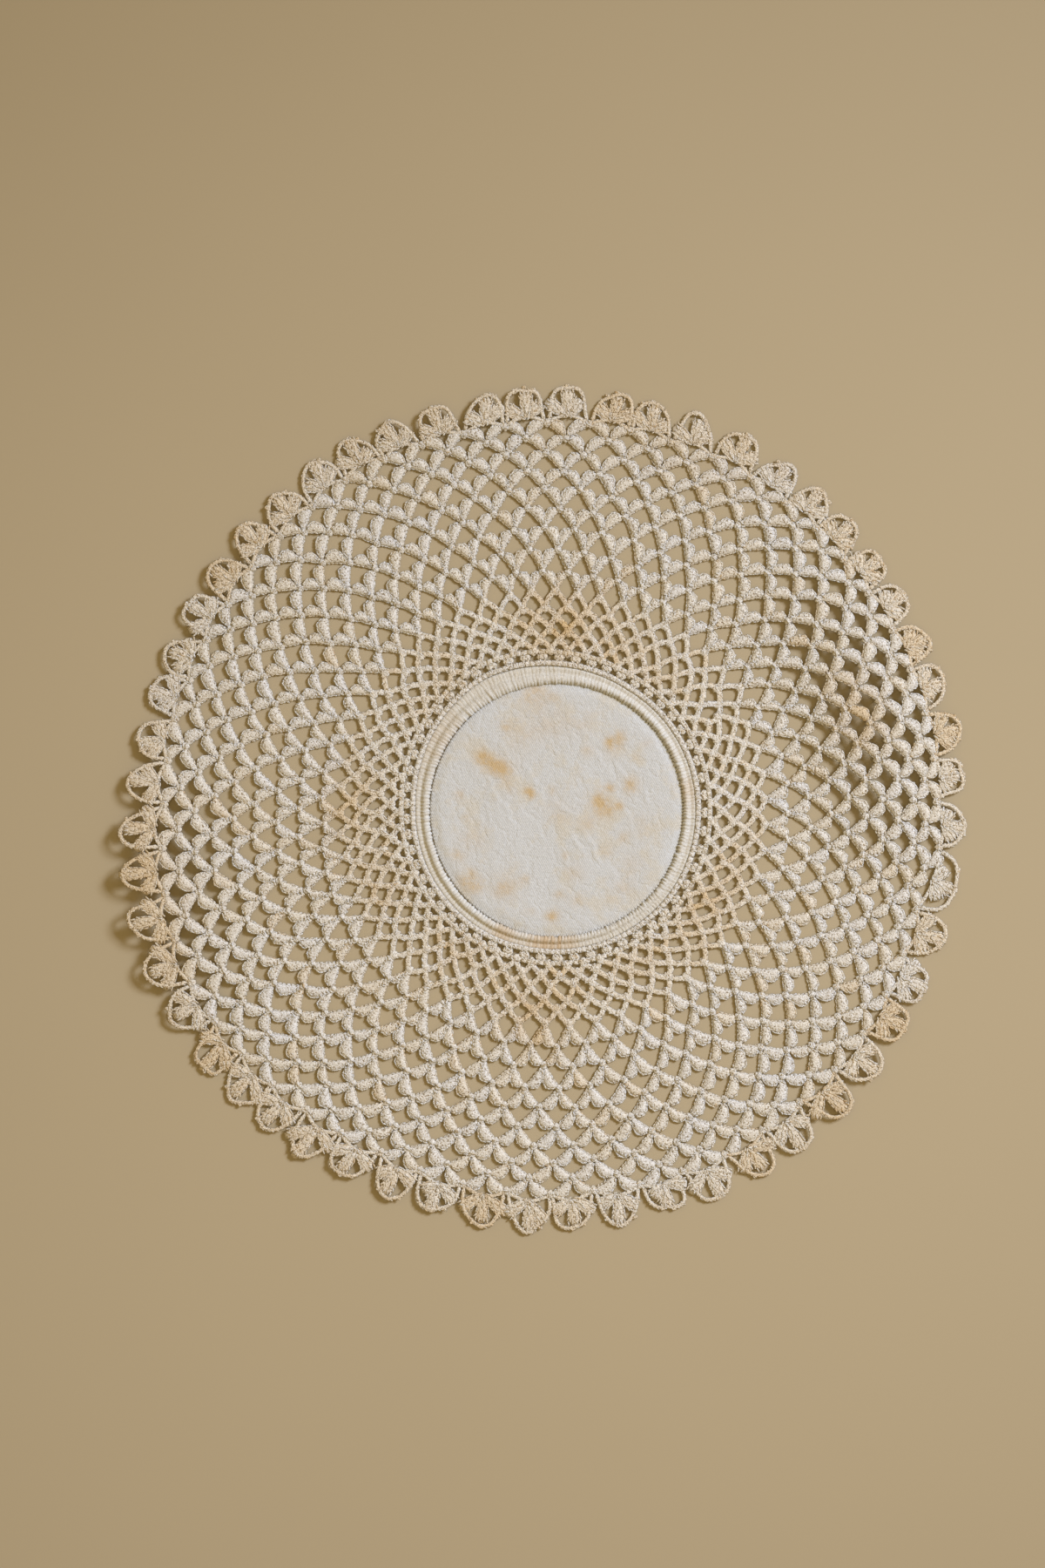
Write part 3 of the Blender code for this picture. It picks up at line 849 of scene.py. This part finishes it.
def chain(crochet, start, end, count, tone, half_width):
    """A chain from start to end: a cord with count stitches, each a V of two long grains, along a
    line that bows away from the ring by FINE_BOW sin(pi s)."""
    span = end - start
    length = lengths(span)
    direction = span / length
    normal = across_of(direction, end)
    middles, ways = [], []
    for k in range(-1, count + 1):
        s = min(max((k + 0.5) / count, 0.02), 0.98)
        slope = np.arctan2(FINE_BOW * math.pi * math.cos(math.pi * s), length)
        middles.append(start + span * s + normal * FINE_BOW * math.sin(math.pi * s))
        ways.append(direction * np.cos(slope) + normal * np.sin(slope))
    core_strip(crochet, middles, ways, half_width, 1.04, tone)
    for middle, way in zip(middles[1:-1], ways[1:-1]):
        side = left_of(way)
        for hand in (-1, 1):
            leaning = way + side * math.tan(math.radians(18)) * hand
            place = middle - side * (half_width - 0.34) * hand
            crochet.add(place, leaning, CHAIN_GRAIN, NET_LIFT + 0.04 * hand, tone)


def knot_cluster(crochet, middle, tone, reach, lift):
    """A knot: a rounded pad with three long grains side by side and one across, all of which
    point away from the ring."""
    out = middle / lengths(middle)
    side = -left_of(out)
    places = [middle + out * along * reach for along, _ in KNOT_PAD]
    widths = [half_width * reach for _, half_width in KNOT_PAD]
    core_strip(crochet, places, [out] * len(places), widths, lift, tone)
    for across, along, turn in KNOT_GRAINS:
        lean = math.radians(turn)
        way = out * math.cos(lean) + side * math.sin(lean)
        place = middle + side * across * reach + out * along * reach
        crochet.add(place, way, (1.7 * reach, 0.66, 0.54), lift - 0.12 - 0.1 * abs(across), tone)


def age_of(points):
    """Tan patches, most of them near the ring, and a little tan all over the rim."""
    radius = np.hypot(points[:, 0], points[:, 1])
    rim = 0.22 * soft_step(radius, 126, 141)
    return np.clip(rim + mounds(AGE_PATCHES, points), 0, 1)


def crochet_cotton():
    """Matt thread: white to cream to tan by stitch, painted flecks of highlight and shade, painted shade in
    the pits, and twisted.
    """
    thread = Finish("lace_thread")
    colour = thread.ramp(thread.number("tone"), *LACE_TONES)
    patchy = thread.ramp(thread.noise(130), (0.32, 0.45), (0.66, 1.55))
    colour = thread.mix(thread.sums("MULTIPLY", thread.number("age"), patchy), colour, LACE_TAN)
    # Close work: painted highlights as pale flecks where a thread crosses, painted shade between them, and
    # painted shade as a dark pinhole here and there on the cores.
    fleck = thread.noise(2100, 2.0)
    fleck_shade = thread.ramp(fleck, (0.34, LACE_SHADE), (0.62, 1.14))
    gaps = thread.noise(1 / (PINHOLE_SPACING * MM), 1.5, 0.4)
    pinhole_shade = thread.ramp(gaps, (0.32, PINHOLE_SHADE_COLOUR), (0.41, 1.0))
    pinhole_shade = thread.mix(thread.number("pit"), (1.0, 1.0, 1.0), pinhole_shade)
    colour = thread.shaded(colour, fleck_shade, pinhole_shade)
    # The twist of the thread: sin(k x + angle round the grain), from the grain's own coordinates.
    strand = thread.node("ShaderNodeSeparateXYZ", {"Vector": thread.number("strand", "Vector")}).outputs
    angle = thread.sums("ARCTAN2", strand["Z"], strand["Y"])
    run = thread.sums("MULTIPLY_ADD", strand["X"], 2 * math.pi / TWIST_PITCH, angle)
    grain = thread.sums("MULTIPLY_ADD", thread.sums("SINE", run), 0.25, fleck)
    relief = thread.sums("MULTIPLY_ADD", gaps, 1.4, grain)
    bump = {"relief": relief, "depth": 0.00022, "strength": 0.9}
    return thread.done(colour, roughness=0.85, specular=0.25, sheen=0.05, **bump)


LACE_COTTON = crochet_cotton()
fine = Crochet()


def ring_round(count, radius, shift=0.0):
    """Evenly worked places of a closed round, where they lie: (clock, radius)."""
    clock = CLOSED_ROUNDS[0][1] + (np.arange(count) + shift) * FULL_TURN / count
    return closed_lay(clock, np.full(count, radius))


def closed_cord(count, radius, half_width, top, tone):
    """A cord all the way round, in count short lengths."""
    place = polar(*ring_round(count, radius))
    after = np.roll(place, -1, axis=0)
    core_strip(fine, [place, after], [after - place] * 2, half_width, top, tone)


# A round of plain stitches close to the ring: a cord, and a V of two grains for each stitch.
closed_cord(FOUNDATION_STITCHES, FOUNDATION_RADIUS + 0.2, half_width=0.95, top=1.15, tone=0.25)
clock, radius = ring_round(FOUNDATION_STITCHES, FOUNDATION_RADIUS)
for hand in (-1, 1):
    way = polar(clock + 20 * hand, radius)
    fine.add(polar(clock + 0.34 * hand, radius + 0.2), way, FOUNDATION_GRAIN, lift=1.0, tone=0.25)

# Paired posts stand on it, with a small hole between the pairs and a pinhole in each.
for hand, cross_height in ((-1, 1.0), (1, 2.1)):
    middles = []
    for height, turn in POST_GRAINS:
        clock, radius = ring_round(CLOSED_LOOPS, POST_FOOT + height, 0.5)
        middles.append(polar(clock + POST_SPREAD * hand, radius))
        fine.add(middles[-1], polar(clock + turn * hand, radius), POST_GRAIN, NET_LIFT, tone=0.38)
    core_strip(fine, middles, [middles[-1]] * 3, half_widths=1.20, high=1.02, tone=0.4)
    clock, radius = ring_round(CLOSED_LOOPS, POST_FOOT + cross_height, 0.5)
    fine.add(polar(clock, radius), polar(clock + 90, radius), CROSS_GRAIN, NET_LIFT - 0.1, tone=0.40)

# A chain runs over the posts all the way round.
closed_cord(3 * CLOSED_LOOPS, CHAIN_ROUND, half_width=0.88, top=1.08, tone=0.42)
for hand in (-1, 1):
    clock, radius = ring_round(3 * CLOSED_LOOPS, CHAIN_ROUND + 0.36 * hand, 0.5)
    way = polar(clock + 90 + 20 * hand, radius)
    fine.add(polar(clock, radius), way, CHAIN_GRAIN, NET_LIFT + 0.1, tone=0.42)

# Then come the loops, each of two chains from the knots of the round before to its own.
for first, after_last, stitches, half_width in FINE_RUNS:
    loops = np.arange(first, after_last)
    tops = knots_at(loops)
    tone = np.clip(draw.normal(*FINE_TONE, len(loops)), 0.1, 0.9)
    for start in feet_of(loops):
        chain(fine, start, tops, stitches, tone, half_width)
loops = np.arange(FIRST_LOOP, FINE_RUNS[-1][1])
knot_cluster(fine, knots_at(loops), tone=0.36, reach=1.22, lift=1.14)
fine.finish("fine_net")

# --- The leaf net ---------------------------------------------------------------------------
# The same spiral goes on with each arm of a loop worked as a leaf: a chain along its inner edge
# and a cluster of tall stitches that bulges outward. Leaves of neighbours meet as hearts.

LAST_LEAF_LOOP = 782
LEAF_KINDS = (
    # bulge_mm, peak along it, share of the crevice between neighbours
    (3.6, 0.62, 1.10),
    (4.1, 0.56, 1.40),
)
LEAF_ROUNDS = (
    # name, first_round, last_round
    ("leaf_net_inner", 6.0, 8.3),
    ("leaf_net_middle", 8.3, 10.6),
    ("leaf_net_outer", 10.6, 12.9),
    ("leaf_net_last", 12.9, 15.2),
)
LEAF_TONE = (0.30, 0.11)
USUAL_ARM = 8.8
LEAF_STATIONS = (0.03, 0.14, 0.27, 0.40, 0.53, 0.66, 0.78, 0.88, 0.97)
LEAF_FOOT = 0.45
LEAF_LOWEST = 0.1
# How far each leaf strays: its slope across, and its height in mm.
LEAF_TILT_STRAY = 0.07
LEAF_REST_STRAY = 0.06
# A leaf's body starts a little behind the line from its foot to its top.
LEAF_BACK = 0.30
# The rounded section of a leaf: across it as a share of its width, and height in mm.
LEAF_SECTION = (
    (0.00, 0.50), (0.14, 1.12), (0.50, 1.45), (0.86, 1.12), (1.00, 0.50), (0.50, 0.25),
)
# Loose turns of thread on it: along it, and across it as a share of its width.
LEAF_TURNS = (
    (0.18, 0.55), (0.30, 0.42), (0.38, 0.70), (0.47, 0.36), (0.56, 0.64), (0.64, 0.38),
    (0.72, 0.66), (0.82, 0.45),
)
BASE_STITCHES = 7
BULGE_STITCHES = 9
BASE_GRAIN = (1.7, 0.62, 0.48)
TURN_GRAIN = (1.35, 0.60, 0.50)
BULGE_GRAIN = (1.8, 0.66, 0.50)


class Leaves:
    """Leaves from foot to top: p = foot + s (top - foot) + n v, with n the outward normal.

    v of the edge is the softened lesser of two, (a^-3 + b^-3)^(-1/3): an arch that rises and falls
    as (1 - q^2.1)^0.6, q from 0 at its peak to 1 short of each end, and the crevice where the
    leaf meets its neighbour, which is the line from the foot straight away from the ring.
    """

    def __init__(self, foot, top, bulge, peak, crevice):
        self.foot = foot
        self.span = top - foot
        self.length = np.linalg.norm(self.span, axis=1)
        self.direction = self.span / self.length[:, None]
        self.normal = across_of(self.direction, foot + top)
        out = foot / lengths(foot)
        along = np.sum(self.direction * out, axis=1)
        self.bulge, self.peak = bulge, peak
        self.crevice = crevice * np.sum(self.normal * out, axis=1) / np.maximum(along, 0.2)

    def edge(self, s):
        reach = self.peak - 0.09 if s < self.peak else 0.93 - self.peak
        arch = np.maximum(self.bulge * (1 - min(abs(s - self.peak) / reach, 1.0) ** 2.1) ** 0.6, 0.4)
        crevice = self.crevice * self.length * s + 0.2
        return (arch**-3.0 + crevice**-3.0) ** (-1 / 3)

    def at(self, s, v):
        return self.foot + self.span * s + self.normal * np.reshape(v, (-1, 1))

    def way(self, turn):
        """A direction turned from the leaf's length towards its bulge."""
        turn = np.reshape(np.radians(turn), (-1, 1))
        return self.direction * np.cos(turn) + self.normal * np.sin(turn)


def add_leaves(crochet, leaves, tone):
    """A rounded body, a chain of stitches along its base, the tops of the stitches round its
    bulge, and loose turns of thread between them."""
    count = len(leaves.foot)
    tilt = draw.normal(0, LEAF_TILT_STRAY, count)
    rest = draw.normal(0, LEAF_REST_STRAY, count)
    stations = []
    for s in LEAF_STATIONS:
        edge = np.maximum(leaves.edge(s), 0.9)
        swell = np.minimum(edge / 2.6, 1)
        rows = []
        for share, height in LEAF_SECTION:
            v = -LEAF_BACK + (edge + 0.05) * share
            z = LEAF_FOOT + (height - LEAF_FOOT) * swell + rest + tilt * (v - edge / 2)
            rows.append(np.column_stack([leaves.at(s, v), np.maximum(z, LEAF_LOWEST)]))
        stations.append(np.stack(rows, axis=1))
    stations = np.stack(stations, axis=1)
    turning = np.cross(leaves.direction, leaves.normal) > 0
    stations[turning] = stations[turning][:, :, ::-1]
    crochet.add_cores(stations, tone)

    def add(s, v, turn, size, sink, tone):
        """Grains that follow the rounded top, sunk into it a little."""
        edge = leaves.edge(s)
        share = np.clip((v + LEAF_BACK) / (edge + 0.5), 0, 1)
        lift = 0.62 + 0.86 * np.sin(math.pi * share) + rest + tilt * (v - edge / 2)
        crochet.add(leaves.at(s, v), leaves.way(turn), size, lift - sink, tone)

    for k in range(BASE_STITCHES):
        s = 0.06 + 0.88 * k / (BASE_STITCHES - 1)
        add(s, np.full(count, -0.22), 9 if k % 2 else -9, BASE_GRAIN, 0.10, tone + 0.14)
    for s, share in LEAF_TURNS:
        v = leaves.edge(s) * share + draw.normal(0, 0.12, count)
        add(s, v, 90 + draw.normal(0, 42, count), TURN_GRAIN, 0.24, tone)
    for k in range(BULGE_STITCHES):
        s = 0.17 + 0.78 * k / (BULGE_STITCHES - 1)
        rise = leaves.edge(s + 0.03) - leaves.edge(s - 0.03)
        slope = np.degrees(np.arctan2(rise, 0.06 * leaves.length))
        add(s, leaves.edge(s) - 0.34, slope + (9 if k % 2 else -5), BULGE_GRAIN, 0.20, tone)


for name, first_round, last_round in LEAF_ROUNDS:
    first = math.ceil((first_round - 1) * LOOPS_PER_ROUND)
    after_last = math.ceil((last_round - 1) * LOOPS_PER_ROUND)
    loops = np.arange(first, min(after_last, LAST_LEAF_LOOP + 1))
    crochet = Crochet()
    tops = knots_at(loops)
    for foot, (bulge, peak, crevice) in zip(feet_of(loops), LEAF_KINDS):
        size = np.clip(np.linalg.norm(tops - foot, axis=1) / USUAL_ARM, 0.6, 1.1)
        size = size * (1 + draw.normal(0, 0.06, len(loops)))
        tone = np.clip(draw.normal(*LEAF_TONE, len(loops)), 0.0, 0.9)
        add_leaves(crochet, Leaves(foot, tops, bulge * size, peak, crevice), tone)
    knot_cluster(crochet, tops, tone=0.30, reach=1.0, lift=1.18)
    crochet.finish(name)

# --- The edging -----------------------------------------------------------------------------
# Fifty-five scallops. Each has a chain bar over the last gap, three clusters fanned from the
# bar's middle, and a chain of picots carried over them from valley to valley.

SCALLOPS = 55
EDGE_TONE = (0.50, 0.13)
EDGE_TIPS = (
    # clock_deg, radius of the scallops' tips in mm
    (0, 140.9), (30, 139.0), (60, 135.8), (75, 136.4), (90, 135.5), (105, 135.4), (120, 136.6),
    (135, 138.7), (150, 139.7), (165, 138.4), (180, 140.6), (195, 139.9), (210, 141.3),
    (225, 144.8), (240, 146.7), (255, 147.2), (270, 144.5), (285, 140.8), (300, 141.5),
    (330, 141.4), (345, 140.5),
)
# How far the picots stand out past the rim's chain.
PICOT_RISE = 0.9
HALF_RIM = (
    # across as a share of the half width, up as a share of the rise
    (0.00, 1.00), (0.28, 0.97), (0.58, 0.88), (0.80, 0.68), (0.88, 0.46), (0.93, 0.22),
    (1.00, -0.02),
)
RIM_STITCHES = 22
RIM_RIPPLE = 0.26
BAR_STITCHES = 11
BAR_SHARE = 0.22
PETALS = (
    # turn_deg, length as a share of the rise, width_mm
    (-55, 0.68, 4.8),
    (2, 0.84, 4.8),
    (53, 0.68, 4.8),
)
PETAL_SHAPE = (
    # along it, half width as a share of its width
    (0.02, 0.22), (0.25, 0.34), (0.50, 0.46), (0.75, 0.52), (0.98, 0.42),
)
PETAL_GRAIN = (2.0, 0.62, 0.52)
PICOTS = (-0.62, -0.05, 0.55)
PICOT_GRAIN = (1.2, 1.05, 0.75)

edging = Crochet()
left = knots_at(np.arange(LAST_LEAF_LOOP - SCALLOPS + 1, LAST_LEAF_LOOP + 1))
right = np.roll(left, -1, axis=0)
middle = (left + right) / 2
half = np.linalg.norm(right - left, axis=1) / 2
side = (right - left) / (2 * half[:, None])
out = across_of(side, middle)
edge_clock = np.degrees(np.arctan2(middle[:, 0], middle[:, 1])) % FULL_TURN
rise = section(EDGE_TIPS, edge_clock, 1) - np.linalg.norm(middle, axis=1) - PICOT_RISE
rise = rise * (1 + draw.normal(0, 0.04, SCALLOPS))
lean = draw.normal(0, 0.10, SCALLOPS)
tone = np.clip(draw.normal(*EDGE_TONE, SCALLOPS), 0.15, 0.95)


def along_scallop(across, up):
    """A direction on every scallop, or a step in mm: across it and outwards, leaning as it does."""
    shift = across + lean * up
    return side * shift[:, None] + out * up[:, None]


def on_scallop(across, up):
    """A point of every scallop, from the middle of the line between its valleys."""
    return middle + along_scallop(across, up)


def line_points(line, count):
    """Evenly spaced points on a bent line, and the way that it runs at each."""
    line = np.array(line)
    steps = np.linalg.norm(np.diff(line, axis=0), axis=1)
    run = np.concatenate([[0], np.cumsum(steps)])
    places = (np.arange(count) + 0.5) / count * run[-1]
    behind, at, ahead = (
        np.stack([np.interp(places + step, run, line[:, k]) for k in (0, 1)], axis=-1)
        for step in (-run[-1] / 40, 0, run[-1] / 40)
    )
    return at, ahead - behind


def edge_chain(line, stitches, height, inset, offsets, lift, spread):
    """A chain along a line that is given in shares of each scallop's half width and of height:
    a core with a V of two long grains for each stitch."""
    places, ways = [], []
    for (across, up), (run_across, run_up), offset in zip(*line_points(line, stitches), offsets):
        way_across, way_up = run_across * half, run_up * height
        size = np.hypot(way_across, way_up)
        normal_across, normal_up = -way_up / size, way_across / size
        flat_across = across * half * inset + normal_across * offset
        flat_up = up * height + normal_up * offset
        places.append(on_scallop(flat_across, flat_up))
        ways.append(along_scallop(way_across, way_up))
        for hand in (-1, 1):
            aside = spread * hand
            tilt = math.radians(-14 * hand)
            cos, sin = math.cos(tilt), size * math.sin(tilt)
            way = along_scallop(way_across * cos + normal_across * sin, way_up * cos + normal_up * sin)
            place = on_scallop(flat_across + normal_across * aside, flat_up + normal_up * aside)
            edging.add(place, way, CHAIN_GRAIN, lift, tone)
    core_strip(edging, places, ways, spread + 0.28, lift + 0.20, tone)


def on_petal(turns, along, across):
    """A point of a petal that is turned from each scallop's way out, over the bar's middle."""
    up = BAR_SHARE * rise * 0.85 + along * np.cos(turns) - across * np.sin(turns)
    return on_scallop(along * np.sin(turns) + across * np.cos(turns), up)


bar_line = [(x, 1 - abs(x) ** 1.7) for x in np.linspace(-1, 1, 17)]
straight = [0.0] * BAR_STITCHES
edge_chain(bar_line, BAR_STITCHES, BAR_SHARE * rise, 1.0, straight, lift=NET_LIFT + 0.1, spread=0.34)
wobble = draw.normal(0, RIM_RIPPLE, (SCALLOPS, 4))
phases = math.pi * np.arange(RIM_STITCHES)[:, None, None] / (RIM_STITCHES - 1)
ripples = np.sum(wobble * np.sin(np.arange(2, 6) * phases), axis=-1)
rim_line = [*((-x, y) for x, y in reversed(HALF_RIM)), *HALF_RIM[1:]]
edge_chain(rim_line, RIM_STITCHES, rise, 0.93, ripples, lift=NET_LIFT + 0.2, spread=0.38)

for petal_turn, petal_length, petal_width in PETALS:
    turns = np.radians(petal_turn + draw.normal(0, 6, SCALLOPS))
    reach = petal_length * rise * (1 + draw.normal(0, 0.07, SCALLOPS))
    places = [on_petal(turns, s * reach, 0.0) for s, _ in PETAL_SHAPE]
    ways = [along_scallop(np.sin(turns), np.cos(turns))] * len(places)
    half_widths = [share * petal_width for _, share in PETAL_SHAPE]
    core_strip(edging, places, ways, half_widths, high=1.30, tone=tone)
    for k in range(6):
        s = 0.08 + 0.155 * k
        wide = petal_width * float(np.interp(s, *zip(*PETAL_SHAPE))) - 0.36
        for number, column in enumerate((-1, 0, 1) if k < 3 else (-1, -0.34, 0.34, 1)):
            turn = turns + math.radians(13 * (1 if (k + number) % 2 else -1) + 16 * column)
            way = along_scallop(np.sin(turn), np.cos(turn))
            lift = NET_LIFT + 0.40 - 0.16 * abs(column)
            edging.add(on_petal(turns, s * reach, column * wide), way, PETAL_GRAIN, lift, tone)

for picot in PICOTS:
    across = picot + draw.normal(0, 0.07, SCALLOPS)
    up = (1.0 - 0.30 * across**2) * rise + 0.35
    for hand in (-1, 1):
        way = along_scallop(across * 0.8 - 0.5 * hand, np.ones(SCALLOPS))
        place = on_scallop(across * half * 0.80 + 0.30 * hand, up)
        edging.add(place, way, PICOT_GRAIN, NET_LIFT + 0.1, tone + 0.1)

knot_cluster(edging, left, tone=0.46, reach=1.05, lift=1.2)
edging.finish("scalloped_edging")

# --- The table top, the light and the camera ------------------------------------------------
# A plain pale table in matt paint. A soft lamp stands to the upper right, a weak one fills from
# above, and a warm sky lights the shadows. The camera looks straight down.

TABLE_SIZE = 3000.0
TABLE_DROP = 0.05
TABLE_COLOUR = (0.412, 0.345, 0.228)
CLOUDY = 1.04
LAMPS = (
    # name, place, aim, size_m, spread_deg, power_w, colour
    ("window", (1.30, 0.78, 1.34), (0.03, -0.09, 0.0), 0.62, 40, 2.16, (1.0, 1.08, 1.30)),
    ("fill", (0.0, -0.10, 1.50), (0.06, -0.05, 0.0), 0.9, 44, 0.44, (1.0, 0.76, 0.38)),
)
SKY_COLOUR = (1.0, 0.75, 0.36)
SKY_STRENGTH = 0.40
CAMERA_HEIGHT = 1.6
FRAME_HEIGHT = 0.5197
FRAME_CENTRE = (-0.01155, 0.00866)
SENSOR_HEIGHT = 36.0

paint = Finish("pale_paint")
cloud_colour = tuple(CLOUDY * c for c in TABLE_COLOUR)
clouds = paint.mix(paint.noise(6, 2.0), TABLE_COLOUR, cloud_colour)
pale_paint = paint.done(clouds, roughness=0.75, specular=0.2)
table_points = np.array([(-1, -1, 0), (1, -1, 0), (1, 1, 0), (-1, 1, 0)]) * TABLE_SIZE / 2
table_points = table_points - np.array([0, 0, TABLE_DROP])
add_piece("table_top", table_points, [np.array([[0, 1, 2, 3]])], pale_paint, smooth=False)


def area_light(name, place, aim, size, spread, power, colour):
    """A square lamp at a place, turned to look at a point, with its beam narrowed to a spread."""
    data = bpy.data.lights.new(name, "AREA")
    data.size = size
    data.spread = math.radians(spread)
    data.energy = power
    data.color = colour
    lamp = bpy.data.objects.new(name, data)
    lamp.location = place
    x, y, z = (a - b for a, b in zip(place, aim))
    lamp.rotation_euler = (0, math.atan2(math.hypot(x, y), z), math.atan2(y, x))
    bpy.context.scene.collection.objects.link(lamp)


for lamp in LAMPS:
    area_light(*lamp)
world = bpy.data.worlds.new("studio")
world.use_nodes = True
world.node_tree.nodes["Background"].inputs["Color"].default_value = (*SKY_COLOUR, 1.0)
world.node_tree.nodes["Background"].inputs["Strength"].default_value = SKY_STRENGTH
bpy.context.scene.world = world
bpy.context.scene.view_settings.view_transform = "Standard"

camera_data = bpy.data.cameras.new("camera")
camera_data.sensor_fit = "VERTICAL"
camera_data.sensor_height = SENSOR_HEIGHT
camera_data.lens = SENSOR_HEIGHT * CAMERA_HEIGHT / FRAME_HEIGHT
camera = bpy.data.objects.new("camera", camera_data)
camera.location = (*FRAME_CENTRE, CAMERA_HEIGHT)
bpy.context.scene.collection.objects.link(camera)
bpy.context.scene.camera = camera
